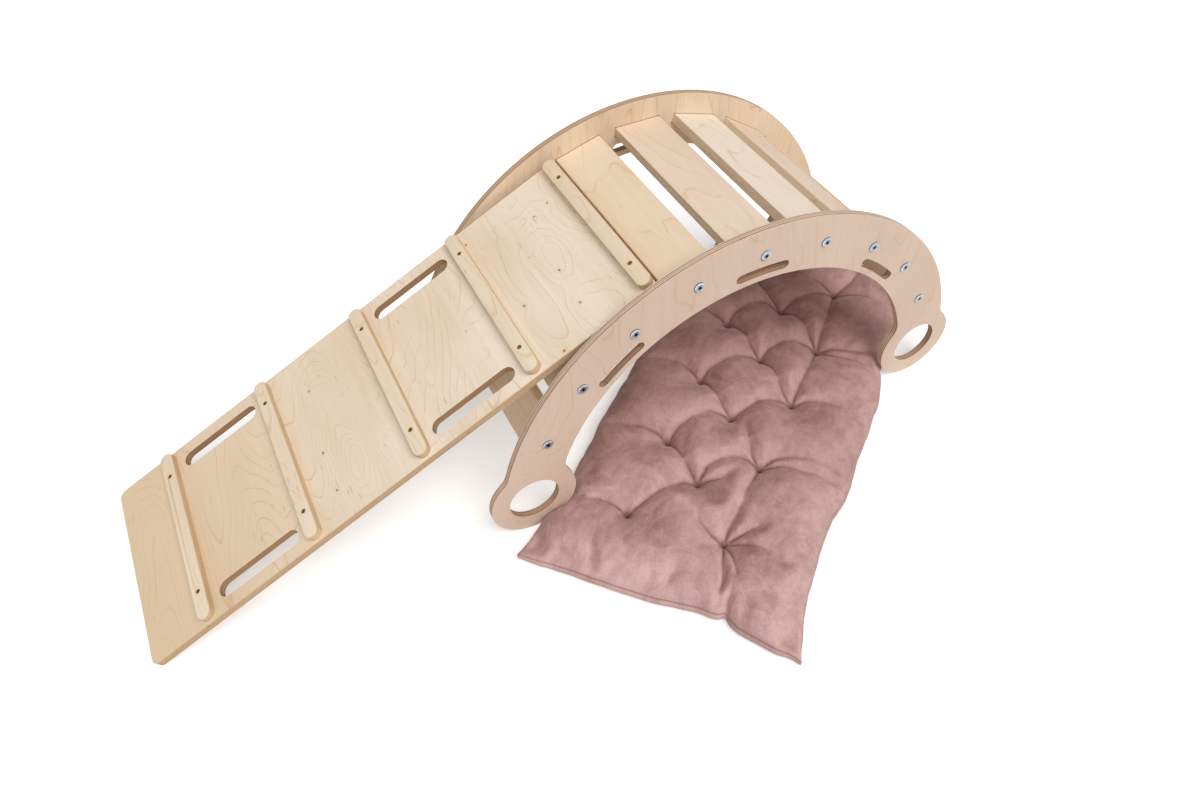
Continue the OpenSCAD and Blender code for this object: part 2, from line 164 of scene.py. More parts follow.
def linear(hexcode):
    """An sRGB colour such as d9bb98 as the linear values that shaders take, by the sRGB curve."""
    values = np.array([int(hexcode[i:i + 2], 16) for i in (0, 2, 4)]) / 255
    return (*np.where(values < 0.04045, values / 12.92, ((values + 0.055) / 1.055) ** 2.4), 1.0)


print("white written as ffffff becomes", linear("ffffff"))

# %% [markdown]
# ## Birch plywood
# Plywood is thin sheets of wood, each turned a quarter from the last and glued under pressure. Its faces
# show one sheet that was peeled off a turning log, so the yearly rings come out as long loops, and its
# edges show every sheet as a stripe. Both come from one set of board coordinates: along the grain, across
# it, and through the thickness. A Mapping node that works backwards turns Object coordinates into them, and
# the same turn of the surface's normal tells a face from an edge.

# %% Board coordinates
BASE = Vector((0.215279, 0.140149, 0.0))            # the arch's middle, from the middle of the whole
RING_CENTRE = BASE + Vector((0, 0, 0.030))
RAMP_SLOPE = math.radians(26.0011)
RAMP_FOOT = BASE + Vector((-0.99383, 0, 0))
UP_RAMP = Vector((math.cos(RAMP_SLOPE), 0, math.sin(RAMP_SLOPE)))
OUT_OF_RAMP = Vector((-math.sin(RAMP_SLOPE), 0, math.cos(RAMP_SLOPE)))
ACROSS_ARCH = Vector((0, 1, 0))


class Board:
    """A sheet of plywood: the middle of its thickness, the way of its grain and the way through it."""

    def __init__(self, middle, grain, through, thickness, plies):
        self.middle, self.thickness, self.plies = middle, thickness, plies
        self.turn = Matrix((grain, through.cross(grain), through)).transposed().to_euler()

    def place(self, f):
        """A point on the board as a vector: (along the grain, across it, through the sheet)."""
        here = f.node("TexCoord", out="Object")
        return f.node("Mapping", {"vector_type": "TEXTURE"},
                      {"Vector": here, "Location": self.middle, "Rotation": self.turn})

    def facing(self, f):
        """How squarely the surface faces out of the sheet: 0 on an edge, 1 on a face."""
        normal = f.node("TexCoord", out="Normal")
        turned = f.node("Mapping", {"vector_type": "TEXTURE"}, {"Vector": normal, "Rotation": self.turn})
        return abs(f.split(turned)[2])


print("up the ramp:", tuple(round(c, 4) for c in UP_RAMP))

# %% [markdown]
# The rings of the face are the contour lines of a slow noise that is drawn out along the grain. A knot is
# a bump in that noise, so the lines bend round it as they do in a tree, and it has a small brown heart with
# a ragged outline and a soft halo. A swell is a broader bump with no heart. Birch is a calm wood: its lines
# are thin, pale orange and fade in and out, and between them lie fine fibres, soft clouds and a few short
# reddish flecks.

# %% Birch faces
def birch_rings(f, flat, across, seed, rings, knots, swells):
    """The share of the way from one yearly ring to the next, the line between two, and the knots' hearts.
    Knots are (along, across, radius) and swells (along, across, radius, strength), in metres."""
    def away(spot_along, spot_across, lengthen):
        """The distance from a spot, with lengths along the grain counted as shorter than they are."""
        return f.distance(f.stretch(flat, (lengthen, 1, 1)), (lengthen * spot_along, spot_across, 0))

    slow = f.noise(f.stretch(flat, (1.7, 6.0, 1), (seed, seed * 1.7, 0)), detail=1.4, roughness=0.42)
    waver = f.noise(f.stretch(flat, (8, 26, 1), (seed, 3, 0)), detail=2.0)
    contour = slow * rings + waver * 1.5 + across * 12
    for spot_along, spot_across, radius, strength in swells:
        contour = contour + strength / (1 + (away(spot_along, spot_across, 0.6) / radius) ** 2)
    hearts = 0.0
    for spot_along, spot_across, radius in knots:
        gap = away(spot_along, spot_across, 0.8)
        contour = contour + 1.6 / (1 + (gap / (radius * 5)) ** 2)
        ragged = gap + (f.noise(f.stretch(flat, (260, 260, 1)), detail=1.0) - 0.5) * (radius * 1.6)
        hearts = hearts + ragged.step(radius * 1.1, radius * 0.3) * 0.75 + gap.step(radius * 3.6, 0.0) * 0.22
    ring = contour % 1.0
    fade = f.noise(f.stretch(flat, (9, 22, 1), (seed * 3, 4, 0)), detail=2.0).step(0.32, 0.62)
    return ring, ring.step(0.86, 0.975) * ring.step(1.0, 0.985) * fade, hearts


def birch_face(f, flat, across, fibre, ring, ring_line, colours, seed, marks, tail):
    """Clouds, streaks and fibres between the face's two colours, then ring lines and short flecks."""
    face, shade, line = colours
    streak = f.noise(f.stretch(flat, (4, 95, 1), (0, seed, 0)), detail=2.0)
    cloud = f.noise(f.stretch(flat, (3.4, 8, 1), (0, seed * 2.3, 0)), detail=2.5)
    flecks = f.noise(f.stretch(flat, (42, 360, 1), (seed, 7, 0)), detail=0.0).step(0.72, 0.79)
    clusters = f.noise(f.stretch(flat, (6, 12, 1), (seed * 5, 2, 0)), detail=1.0).step(0.5, 0.68)
    tone = cloud.step(0.28, 0.74) * 0.6 + streak.step(0.25, 0.75) * 0.22 + fibre.step(0.2, 0.8) * 0.2
    colour = f.mix(tone * 1.4 + ring * 0.07 - 0.2, linear(face), linear(shade))
    if tail is not None:
        # A tint of painted shade that grows across the board.
        start, end, tint = tail
        colour = f.mix(across.step(start, end) * 0.8, colour, linear(tint))
    colour = f.mix(ring_line * (0.52 * marks), colour, linear(line))
    return f.mix(flecks * clusters * (0.55 * marks), colour, linear("b07a50"))


def brown_rim_band(f, along, across, half_length, half_width, corner):
    """1 in the last 0.2 mm inside a rounded rectangle's outline, falling to 0 at 1.6 mm."""
    past = f.join(abs(along) - (half_length - corner), abs(across) - (half_width - corner))
    past = f.node("VectorMath", {"operation": "MAXIMUM"}, {0: past, 1: (0, 0, 0)})
    return (f.distance(past) - corner).step(-0.0016, -0.0002)


print("faces: rings, clouds, streaks, fibres and flecks")

# %% [markdown]
# On the edges, a sine of the depth gives light and dark sheets with a glue line between them. No two dark
# sheets are equally dark, and a noise that changes from sheet to sheet opens the short cracks that inner
# sheets have.

# %% Birch edges and the whole finish
def birch_edge(f, board, place, edge_light, edge_dark, seed):
    """The edge's colour and the wave that runs once up and down over each two sheets."""
    along, across, depth = f.split(place)
    sheet = depth * (board.plies / board.thickness) + board.plies / 2
    wave, number = (sheet * math.pi).sine(), sheet.floor()
    own = f.node("TexWhiteNoise", {"noise_dimensions": "1D"}, {"W": number + seed}, "Value")
    dark_sheet = wave.step(0.05, -0.55) * (0.5 + 0.5 * own)
    run = f.join(along * 30, across * 30, number * 3.7 + seed)
    crack = f.noise(run, detail=1.0).step(0.70, 0.74)
    run_tone = f.noise(f.stretch(place, (14, 14, 700), (seed, 0, 0)), detail=1.0)
    colour = f.mix(dark_sheet * 0.9 + (run_tone - 0.4) * 0.5, linear(edge_light), linear(edge_dark))
    colour = f.mix(abs(wave).step(0.34, 0.04) * 0.2, colour, linear("80604a"))
    return f.mix(crack * dark_sheet, colour, linear("3e2c20")), wave


def birch(name, board, face, shade, line, edge_light, edge_dark, seed, knots=(), swells=(), rings=26.0,
          marks=1.0, outline=None, tail=None, singed_and_shaded=None, joint=None):
    """A board's finish: the normal picks between face and edge. Colours are sRGB hex. outline is (half
    length, half width, corner radius) of a face that is darkened brown along its sharp rim, and tail is
    (from, to, colour): a tint of painted shade that grows across the board. singed(along, across) gives
    where the walls of a hole are browned, partly by a cutter that turned on the spot and partly as painted
    shade, since they lie in shadow. At joint, to either side along the board, the face ends in a pocket of
    another piece, whose rim keeps it in the dark."""
    f = Finish(name)
    place = board.place(f)
    along, across = f.split(place)[:2]
    flat = f.stretch(place, (1, 1, 0))
    on_face = board.facing(f).step(0.62, 0.86)
    fibre = f.noise(f.stretch(flat, (16, 620, 1), (seed, 0, 0)), detail=2.0)
    ring, ring_line, hearts = birch_rings(f, flat, across, seed, rings, knots, swells)
    face_colour = birch_face(f, flat, across, fibre, ring, ring_line, (face, shade, line), seed, marks, tail)
    if knots:
        face_colour = f.mix(hearts.step(0.0, 1.1), face_colour, linear("b8741a"))
    if outline is not None:
        # The face is darkened brown within 1.6 mm of its outline.
        face_colour = f.mix(brown_rim_band(f, along, across, *outline) * 0.55, face_colour, linear("b98c5e"))
    if joint is not None:
        shadow = abs(along).step(joint - 0.0022, joint - 0.0004) * 0.8
        face_colour = f.mix(shadow, face_colour, linear("6a4a30"))
    edge_colour, wave = birch_edge(f, board, place, edge_light, edge_dark, seed)
    if singed_and_shaded is not None:
        # The walls of holes are browned, partly as the cutter's burn and partly as painted shade.
        edge_colour = f.mix(singed_and_shaded(along, across) * 0.5, edge_colour, linear("a87c54"), "MULTIPLY")
    height = fibre * 0.4 - ring_line * 0.25 + (1 - on_face) * wave * 0.4
    rough = 0.62 - 0.14 * on_face + fibre * 0.08
    return f.surface({"IOR": 1.45, "Specular IOR Level": 0.35},
                     {"Base Color": f.mix(on_face, edge_colour, face_colour), "Roughness": rough,
                      "Normal": f.bump(height, 0.2, 0.0003)})


def dress(name, material):
    """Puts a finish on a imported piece, in each of its material slots."""
    for slot in nodes[name].material_slots:
        slot.material = material


print("edges: sheets, glue lines and cracks")

# %% [markdown]
# ### The side panels
# Both rings are cut with the grain upright. The near one is a calm, pinkish sheet; the far one shows its
# inner face, which is a little yellower. The walls of the slots and of the holes in the feet are browner
# than the outside, partly because the cutter plunges and turns there and partly as painted shade, since
# those walls lie in shadow; polar coordinates find them.

# %% Side panels
UPRIGHT = Vector((0, 0, 1))
RAMP_PLY, PANEL_PLY, SLAT_PLY = 0.012, 0.012, 0.018
PANEL_ASIDE = 0.194                                 # from the arch's middle to a panel's
SLOT_CIRCLE = 0.368
FOOT_ASIDE, FOOT_UP, FOOT_RADIUS = 0.390, 0.074, 0.074


# Where the walls of the slots and foot holes are browned: partly the cutter's burn, partly painted shade on
# walls that lie in shadow.
def singed_and_shaded_ring(along, across):
    """The band round the slots, and a disc round each foot's hole."""
    f = along.finish
    slots = abs(f.distance(f.join(along, across)) - SLOT_CIRCLE).step(0.013, 0.010) * along.step(0.19, 0.21)
    foot = f.distance(f.join(along, abs(across)), (FOOT_UP - RING_CENTRE.z, FOOT_ASIDE, 0))
    return slots.larger(foot.step(0.052, 0.048))


for name, side, face, shade, line, edge_light, edge_dark, marks, seed in (
        ("near_side_panel", -1, "dbc3ae", "d3b9a5", "c29474", "e0c8b2", "865a40", 0.65, 2.3),
        ("far_side_panel", 1, "ebd7bc", "dcc3a4", "cc9c6c", "cfb092", "805840", 1.0, 5.1)):
    board = Board(RING_CENTRE + side * PANEL_ASIDE * ACROSS_ARCH, UPRIGHT, ACROSS_ARCH, PANEL_PLY, 7)
    dress(name, birch(name, board, face, shade, line, edge_light, edge_dark, seed, marks=marks,
                      singed_and_shaded=singed_and_shaded_ring))
    print(name, "dressed")

# %% [markdown]
# ### The slats
# Each slat is cut along the grain, and no two sheets are alike: one is pinkish, one nearly white.

# %% Slats
SLAT_COUNT, SLAT_STEP, SLAT_CIRCLE = 9, math.radians(16.2995), 0.3975
SLAT_WIDTH = 0.085
SLAT_END = 0.188                                    # from the arch's middle to a panel's inner face
PLAIN_SLAT = ("ead4b8", "dec2a2")
SLAT_COLOURS = {4: ("ecd8be", "e3caa8"), 5: ("e9d5c0", "dfc6ac"), 6: ("eee0d0", "e6d2bc"),
                7: ("e6d0bc", "dcc0a6")}
for number in range(1, SLAT_COUNT + 1):
    angle = math.pi / 2 + SLAT_STEP * (5 - number)
    outwards = Vector((math.cos(angle), 0, math.sin(angle)))
    board = Board(RING_CENTRE + SLAT_CIRCLE * outwards, ACROSS_ARCH, outwards, SLAT_PLY, 13)
    name = f"slat_{number}"
    dress(name, birch(name, board, *SLAT_COLOURS.get(number, PLAIN_SLAT), "cc9c70", "f0dcc0", "b08658",
                      11.0 + 3.7 * number, rings=15.0, marks=0.7, outline=(0.25, SLAT_WIDTH / 2, 0.004),
                      joint=SLAT_END))
print("slats dressed:", SLAT_COUNT)

# %% [markdown]
# ### The ramp
# The ramp's grain runs across it, and its sheet has small knots with rings that swirl round them. Knots
# and swells are given as places from the ramp's middle line and foot.

# %% Ramp and hook rail
RAMP_LENGTH, RAMP_HALF_WIDTH, HOOK_HEIGHT = 0.928, 0.175, 0.018
RUNG_COUNT, FIRST_RUNG, RUNG_STEP = 5, 0.110, 0.2015
ramp_board = Board(RAMP_FOOT + RAMP_PLY / 2 * OUT_OF_RAMP, ACROSS_ARCH, OUT_OF_RAMP, RAMP_PLY, 7)
KNOTS = [(-0.033, 0.828, 0.0027), (-0.0485, 0.753, 0.0026), (-0.111, 0.8245, 0.0028), (0.1406, 0.730, 0.0024),
         (0.102, 0.877, 0.0022), (0.095, 0.847, 0.0024), (0.028, 0.802, 0.0012), (-0.016, 0.657, 0.0014),
         (0.0925, 0.384, 0.0022), (-0.038, 0.368, 0.0026), (-0.116, 0.367, 0.0028), (-0.110, 0.310, 0.0015),
         (-0.167, 0.765, 0.0028)]
SWELLS = [(0.012, 0.842, 0.034, 5.0), (-0.150, 0.842, 0.040, 6.0), (-0.040, 0.905, 0.016, 3.0),
          (-0.073, 0.421, 0.026, 4.0), (0.02, 0.40, 0.030, 3.0), (-0.12, 0.40, 0.030, 3.5)]


# Where the ramp's slot walls are browned: partly the cutter's burn, partly painted shade on walls that lie in
# shadow.
def singed_and_shaded_slots(along, across):
    """1 inside the ramp and 0 in a margin of some 12 to 15 mm along its outside."""
    past_middle = abs(across + RAMP_LENGTH / 2) - RAMP_LENGTH / 2
    return (abs(along) - RAMP_HALF_WIDTH).step(-0.009, -0.015) * past_middle.step(-0.012, -0.018)


def on_ramp(up, out):
    """The point of the ramp's middle line that lies this far up from its foot and out of its underside."""
    return RAMP_FOOT + up * UP_RAMP + out * OUT_OF_RAMP


def rung_place(number):
    """How far up the ramp the middle of a rung lies."""
    return FIRST_RUNG + (number - 1) * RUNG_STEP


knots = [(side, -up, radius) for side, up, radius in KNOTS]
swells = [(side, -up, radius, rise) for side, up, radius, rise in SWELLS]
# The tail tints the ramp darker towards its foot: painted shade.
dress("ramp_board", birch("ramp_board", ramp_board, "f1e2cf", "e5cfb4", "c8985e", "d4b690", "8a6040", 31.0,
                          knots=knots, swells=swells, rings=32.0, marks=0.8, tail=(-0.62, 0.02, "dcc09c"),
                          outline=(RAMP_HALF_WIDTH, 1.0, 0.012), singed_and_shaded=singed_and_shaded_slots))
hook_middle = on_ramp(rung_place(RUNG_COUNT), -HOOK_HEIGHT / 2)
hook_board = Board(hook_middle, ACROSS_ARCH, OUT_OF_RAMP, HOOK_HEIGHT, 13)
dress("hook_rail", birch("hook_rail", hook_board, "ead4b8", "dec2a2", "cc9c70", "e2c49c", "bc9266", 77.0))
print("ramp and hook rail dressed")

# %% [markdown]
# ### The rungs
# Seen next to the photograph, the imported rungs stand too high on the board: 18 mm, where the photograph's
# are hardly thicker than the ramp's own sheet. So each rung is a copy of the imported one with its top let
# down, and the edge round its top is rounded as sandpaper leaves it. Its grain runs along it.

# %% Rungs
PACKED_RUNG, RUNG_HEIGHT, RUNG_RADIUS, RUNG_HALF_LENGTH = 0.018, 0.0125, 0.012, 0.170
RUNG_TOP = RAMP_PLY + RUNG_HEIGHT


def merged(mesh, change=None):
    """Joins a mesh's doubles, lets change(work) work on it, and turns its faces outwards."""
    work = bmesh.new()
    work.from_mesh(mesh)
    bmesh.ops.remove_doubles(work, verts=work.verts, dist=1e-6)
    if change is not None:
        change(work)
    bmesh.ops.recalc_face_normals(work, faces=work.faces)
    work.to_mesh(mesh)
    work.free()


def low_rung(number, rounding=0.0010, broad=0.001):
    """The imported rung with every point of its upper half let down, and its outer top edge rounded. Faces
    larger than broad, in square metres, are shaded flat."""
    mesh = nodes[f"rung_{number}"].data.copy()
    places = np.empty(len(mesh.vertices) * 3)
    mesh.vertices.foreach_get("co", places)
    places = places.reshape(-1, 3)
    upper = (places - np.array(RAMP_FOOT)) @ np.array(OUT_OF_RAMP) > RAMP_PLY + PACKED_RUNG / 2
    places -= (PACKED_RUNG - RUNG_HEIGHT) * upper[:, None] * np.array(OUT_OF_RAMP)
    mesh.vertices.foreach_set("co", places.ravel())

    def on_rim(vert):
        """Whether a point is on the top and so far from the rung's middle line that it is on its outside."""
        from_foot = vert.co - RAMP_FOOT
        past = max(abs(from_foot.dot(ACROSS_ARCH)) - (RUNG_HALF_LENGTH - RUNG_RADIUS), 0)
        out = math.hypot(past, from_foot.dot(UP_RAMP) - rung_place(number))
        return out > 0.008 and from_foot.dot(OUT_OF_RAMP) > RUNG_TOP - 1e-5

    def round_rim(work):
        bmesh.ops.dissolve_limit(work, angle_limit=math.radians(0.5), verts=work.verts, edges=work.edges)
        rim = [edge for edge in work.edges if all(on_rim(vert) for vert in edge.verts)
               and edge.calc_face_angle(0.0) > 1.0]
        bmesh.ops.bevel(work, geom=rim, offset=rounding, segments=3, profile=0.5, affect="EDGES")

    merged(mesh, round_rim)
    areas = np.empty(len(mesh.polygons))
    mesh.polygons.foreach_get("area", areas)
    mesh.polygons.foreach_set("use_smooth", areas < broad)
    mesh.set_sharp_from_angle(angle=math.radians(35))
    return stand(f"rounded_rung_{number}", mesh)


for number in range(1, RUNG_COUNT + 1):
    middle = on_ramp(rung_place(number), RAMP_PLY + RUNG_HEIGHT / 2)
    board = Board(middle, ACROSS_ARCH, OUT_OF_RAMP, RUNG_HEIGHT, 9)
    finish = birch(f"rung_{number}", board, "ecdac2", "e2ccae", "d0a474", "e2c8a4", "a8825a",
                   51.0 + 4.3 * number, marks=0.8, outline=(RUNG_HALF_LENGTH, RUNG_RADIUS, RUNG_RADIUS))
    rung = low_rung(number)
    rung.data.materials.clear()
    rung.data.materials.append(finish)
    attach(rung, "ramp")
    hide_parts(f"rung_{number}")
    print(rung.name, "faces:", len(rung.data.polygons))

# %% [markdown]
# ## Plated steel
# The bolts are zinc-plated, a bluish grey with soft gloss, and the screws have a yellow plating. A head is
# turned on a lathe, so its marks are rings round its own axis. Its socket is painted near black as shade,
# the head round the socket is painted darker as shade that fades out towards the rim, and a dark ring at the
# rim is a painted shadow where the head meets the wood. All the bolts of a panel are one mesh, so the finish
# folds them onto one: it takes the angle round the arch, takes off the nearest bolt's angle, and what is left
# is the place on that bolt's head.

# %% Metal finishes
SCREW_ASIDE = 0.120                                 # from the ramp's middle line to a screw


def on_bolt(f):
    """The distance from the nearest bolt's axis. Angle round the arch less its nearest multiple of the slat
    step, then back from polar to straight coordinates."""
    here = f.node("TexCoord", out="Object")
    x, _, z = f.split(f.node("VectorMath", {"operation": "SUBTRACT"}, {0: here, 1: RING_CENTRE}))
    own = (x.angle_from(z) + SLAT_STEP / 2) % SLAT_STEP - SLAT_STEP / 2
    out = f.distance(f.join(x, 0.0, z))
    return f.distance(f.join(out * own.sine(), out * own.cosine() - SLAT_CIRCLE))


def on_screw(f):
    """The distance from the nearest screw's axis on the ramp, with its rows a rung's step apart folded
    together."""
    side, down = f.split(ramp_board.place(f))[:2]
    row = (FIRST_RUNG - RUNG_STEP / 2 - down) % RUNG_STEP - RUNG_STEP / 2
    return f.distance(f.join(row, abs(side) - SCREW_ASIDE))


def plated(name, colour, stain, dark, roughness, axis=None, socket=0.0, rim=1.0):
    """Metal whose colour wanders from colour to stain, with rings turned round the axis. Inside the socket's
    radius it is painted near black as shade, round the socket painted darker as shade that fades out towards
    the rim, and at the rim's radius painted dark as the head's shadow."""
    f = Finish(name)
    here = f.node("TexCoord", out="Object")
    wander = f.noise(here, scale=260, detail=2.0)
    tint = f.mix(wander.step(0.35, 0.7), linear(colour), linear(stain))
    height = f.noise(here, scale=2400, detail=1.0)
    if axis is not None:
        out = axis(f)
        # Painted shade round the socket that fades out towards the rim, then the socket painted near black as
        # shade, and a painted shadow ring at the rim
        past_socket_shade = out.step(socket * 1.7, rim * 0.92)
        tint = f.mix(past_socket_shade, f.mix(0.55, tint, linear(dark)), tint)
        tint = f.mix(out.step(socket * 1.15, socket), tint, linear("101114"))
        tint = f.mix(out.step(rim * 0.93, rim) * 0.75, tint, linear(dark))
        height = height * 0.4 + (out * 9000.0).sine() * 0.6
    return f.surface({"Metallic": 1.0}, {"Base Color": tint, "Roughness": wander * 0.2 + roughness,
                                         "Normal": f.bump(height, 0.12, 0.0002)})


zinc = plated("zinc", "dfe8f0", "b4bfcc", "50586a", 0.22, on_bolt, 0.0026, 0.0085)
plain_zinc = plated("plain_zinc", "cfd8e2", "a9b1bd", "50586a", 0.25)
yellow_zinc = plated("yellow_zinc", "e6c262", "c09640", "6a5024", 0.28, on_screw, 0.0024, 0.006)
for side in ("near", "far"):
    dress(side + "_bolts", zinc)
    dress(side + "_barrel_nuts", plain_zinc)
print("bolts and nuts dressed")

# %% [markdown]
# ### The screws and their star recess
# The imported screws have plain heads. These lie lower with the rungs' tops, are shorter by as much, and have
# what a bit drives: a recess with six lobes. A screw is one profile that goes from the recess's floor up its
# wall, out over the head, down the cone and along the shank to the tip, and is carried round the axis; only
# the recess's radius changes with the angle, by a cosine with six waves.

# %% Screws
def quads(number, closed=False, turned=False):
    """The faces between neighbours in a grid of point numbers. A closed grid's last column meets its first,
    and turned faces look the other way."""
    if closed:
        number = np.concatenate([number, number[..., :1]], axis=-1)
    corners = [number[..., :-1, :-1], number[..., 1:, :-1], number[..., 1:, 1:], number[..., :-1, 1:]]
    order = (0, 3, 2, 1) if turned else (0, 1, 2, 3)
    return np.stack([corners[k] for k in order], -1).reshape(-1, 4)


def skin(name, points, faces):
    """A mesh from an array of points and a list of faces."""
    mesh = bpy.data.meshes.new(name)
    mesh.from_pydata(points.reshape(-1, 3).tolist(), [], faces)
    return mesh


def closed_piece(name, points, faces, crease=35):
    """A smooth-shaded object from points and faces, its doubles merged, sharp past the crease's angle."""
    mesh = skin(name, points, faces)
    merged(mesh)
    mesh.shade_smooth()
    mesh.set_sharp_from_angle(angle=math.radians(crease))
    return stand(name, mesh)


def screw_skin(places, length, head=0.004, shank=0.002, steps=36):
    """Points and faces of screws whose heads are centred at places on the ramp's board: (side, up, out)."""
    radius = np.array([0, 0.55, 0.86, 0.92, 1.0, 0, 0, 0, 0, 0]) * 0.0023       # the recess
    plain = np.array([0, 0, 0, 0, 0, 0.0031, head - 0.0002, head, shank, shank])
    level = np.array([-0.0021, -0.0021, -0.0018, -0.0005, 0, 0, 0, -0.0002, shank - head - 0.0002, -length])
    turn = np.linspace(0, 2 * np.pi, steps, endpoint=False)
    lobes = 1 + 0.14 * np.cos(6 * turn)
    out = radius[:, None] * lobes + plain[:, None]
    ring = np.stack([out * np.cos(turn), out * np.sin(turn), level[:, None] + 0 * turn], -1)
    ring[0] = ring[0].mean(0)
    ramp_axes = np.array([UP_RAMP, ACROSS_ARCH, OUT_OF_RAMP])
    centre = np.array([on_ramp(up, rise) + side * ACROSS_ARCH for side, up, rise in places])
    points = centre[:, None, None] + (ring @ ramp_axes)[None]
    number = np.arange(points[..., 0].size).reshape(points.shape[:3])
    return points, quads(number, closed=True).tolist() + number[:, -1].tolist()


SCREW_TOP = RUNG_TOP - 0.0006                       # the heads are sunk a little
SCREW_LENGTH, HOOK_SCREW_LENGTH = 0.0209, 0.0389
for node, rungs, length in (("rung_screws", range(1, RUNG_COUNT), SCREW_LENGTH),
                            ("hook_screws", range(RUNG_COUNT, RUNG_COUNT + 1), HOOK_SCREW_LENGTH)):
    places = [(side, rung_place(number), SCREW_TOP) for number in rungs
              for side in (-SCREW_ASIDE, SCREW_ASIDE)]
    screws = closed_piece("star_" + node, *screw_skin(places, length))
    screws.data.materials.append(yellow_zinc)
    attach(screws, "ramp")
    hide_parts(node)
    print(screws.name, "screws:", len(places), "faces:", len(screws.data.polygons))

# %% [markdown]
# ## The cushion
# The cushion is a velvet case filled with loose stuffing and sewn through at fourteen points. Its plan was
# read off the photograph: the near end is skewed, its sides draw in, and three of the arch's feet squeeze
# it. The four edges are curves through a few measured points, and the inside is filled between them, so a
# point of the cushion is a function of two shares: along it, and across it.

# %% The cushion's plan
def through(points, at):
    """A smooth curve through (station, value) points: cubics whose slopes are the means of their chords."""
    x, y = np.array(points, float).T
    chord = np.diff(y) / np.diff(x)
    slope = np.concatenate([[chord[0]], (chord[1:] + chord[:-1]) / 2, [chord[-1]]])
    k = np.clip(np.searchsorted(x, at) - 1, 0, len(x) - 2)
    h = x[k + 1] - x[k]
    s = (at - x[k]) / h
    return ((1 + 2 * s) * (1 - s) ** 2 * y[k] + s * (1 - s) ** 2 * h * slope[k]
            + s * s * (3 - 2 * s) * y[k + 1] + s * s * (s - 1) * h * slope[k + 1])


LEFT_SIDE = [(-9, 211), (24, 206), (56, 203), (82, 200), (107, 190), (132, 190), (165, 200), (200, 205),
             (250, 208), (354, 217), (478, 220), (600, 219), (720, 217), (840, 219), (922, 229)]
RIGHT_SIDE = [(18, 255), (34, 250), (60, 244), (99, 234), (189, 224), (277, 221), (338, 227), (420, 224),
              (532, 221), (570, 220), (600, 215), (630, 208), (659, 202), (680, 203), (720, 209), (800, 212),
              (870, 218), (922, 229)]
NEAR_END = [(-255, 18), (-240, 21), (-215, 20), (-191, 22), (-150, 27), (-136, 33), (-126, 39), (-117, 33),
            (-91, 30), (-46, 20), (1, 11), (67, 4), (119, 0), (186, -7), (211, -9)]
FAR_END = [(-229, 922), (-150, 921), (-95, 924), (-50, 913), (20, 896), (70, 884), (102, 876), (134, 886),
           (170, 902), (229, 922)]
CORNERS = np.array([(17, -252), (-9, 211), (922, -229), (922, 229)], float)


def cushion_plan(t, s):
    """Where share t along and share s across (0 on the right) lies, in mm: each pair of opposite edges is
    blended, and what the corners would count twice is taken off."""
    def edge(points, share, flip):
        first, last = points[0][0], points[-1][0]
        at = first + share * (last - first)
        value = through(points, at)
        return np.stack([value, at], -1) if flip else np.stack([at, value], -1)

    right = edge(RIGHT_SIDE, t, False) * (1, -1)
    left = edge(LEFT_SIDE, t, False)
    near, far = edge(NEAR_END, s, True), edge(FAR_END, s, True)
    t, s = t[..., None], s[..., None]
    twice = (1 - t) * ((1 - s) * CORNERS[0] + s * CORNERS[1]) + t * ((1 - s) * CORNERS[2] + s * CORNERS[3])
    return (1 - s) * right + s * left + (1 - t) * near + t * far - twice


CUSHION_TURN = math.radians(36)
CUSHION_PLACE = BASE + Vector((-0.315, -0.412, 0))
CUSHION_LENGTH, CUSHION_WIDTH = 930, 455            # along and across its middle, in mm


def shares(rows, columns):
    """Two grids with the shares along and across of evenly spread points."""
    return np.meshgrid(np.linspace(0, 1, rows), np.linspace(0, 1, columns), indexing="ij")


share_t, share_s = shares(185, 93)
plan = cushion_plan(share_t, share_s)
print("cushion plan:", plan.shape, "from", plan.min((0, 1)).round(1), "to", plan.max((0, 1)).round(1), "mm")

# %% [markdown]
# The top is a pillow that rises steeply from its seam and is flat in the middle. Each of the fourteen tufts
# pulls a wide dent into it, and a shallow valley runs where the case folds between two lumps of stuffing.
# The paths of those folds were read off the photograph: most leave one tuft sideways, swing round a lump
# and end in the next tuft.

